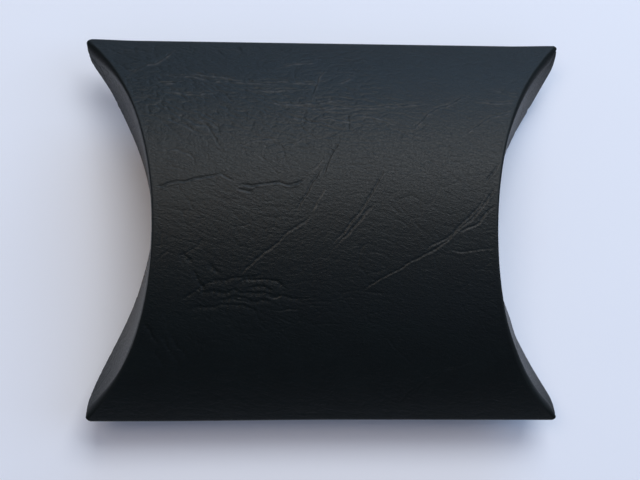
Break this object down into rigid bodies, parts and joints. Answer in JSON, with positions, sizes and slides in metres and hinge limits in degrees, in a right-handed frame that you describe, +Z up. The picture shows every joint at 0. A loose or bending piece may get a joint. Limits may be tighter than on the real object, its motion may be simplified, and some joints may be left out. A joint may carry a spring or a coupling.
{
  "type": "pillow box",
  "caption": "Pillow box of embossed black card with bulged faces, folded long edges and concave ends closed by curved tuck flaps that hinge open.",
  "frame": {"origin": "middle of the strip of the lower face that the box rests on, at table level", "axes": "+X along the folded long edges, to the right in the picture; +Y across them, up in the picture, towards the glued seam; +Z up from the table"},
  "size_m": [0.115, 0.092, 0.031],
  "materials": {
    "embossed_card": "black solid-dyed card embossed with a fine leather grain, satin outside and plain inside",
    "adhesive": "dried packaging glue film"
  },
  "bodies": {
    "carton": {"top_panel": "embossed_card", "bottom_panel": "embossed_card", "front_fold": "embossed_card", "seam_fold": "embossed_card", "glue_tab": "embossed_card", "seam_adhesive": "adhesive", "left_outer_score": "embossed_card", "left_inner_score": "embossed_card", "right_outer_score": "embossed_card", "right_inner_score": "embossed_card"},
    "left_outer_flap": {"left_outer_flap": "embossed_card"},
    "left_inner_flap": {"left_inner_flap": "embossed_card"},
    "right_outer_flap": {"right_outer_flap": "embossed_card"},
    "right_inner_flap": {"right_inner_flap": "embossed_card"}
  },
  "joints": [
    {"name": "left_outer_hinge", "type": "hinge", "parent": "carton", "child": "left_outer_flap", "pos_m": [-0.0396, 0, 0.031], "axis": [0, 1, 0], "range_deg": [0, 90]},
    {"name": "left_inner_hinge", "type": "hinge", "parent": "carton", "child": "left_inner_flap", "pos_m": [-0.0396, 0, 0], "axis": [0, -1, 0], "range_deg": [0, 90]},
    {"name": "right_outer_hinge", "type": "hinge", "parent": "carton", "child": "right_outer_flap", "pos_m": [0.0396, 0, 0.031], "axis": [0, -1, 0], "range_deg": [0, 90]},
    {"name": "right_inner_hinge", "type": "hinge", "parent": "carton", "child": "right_inner_flap", "pos_m": [0.0396, 0, 0], "axis": [0, 1, 0], "range_deg": [0, 90]}
  ],
  "couplings": [
    {"joint": "left_inner_hinge", "follows": "left_outer_hinge", "ratio": 1},
    {"joint": "right_inner_hinge", "follows": "right_outer_hinge", "ratio": 1}
  ]
}
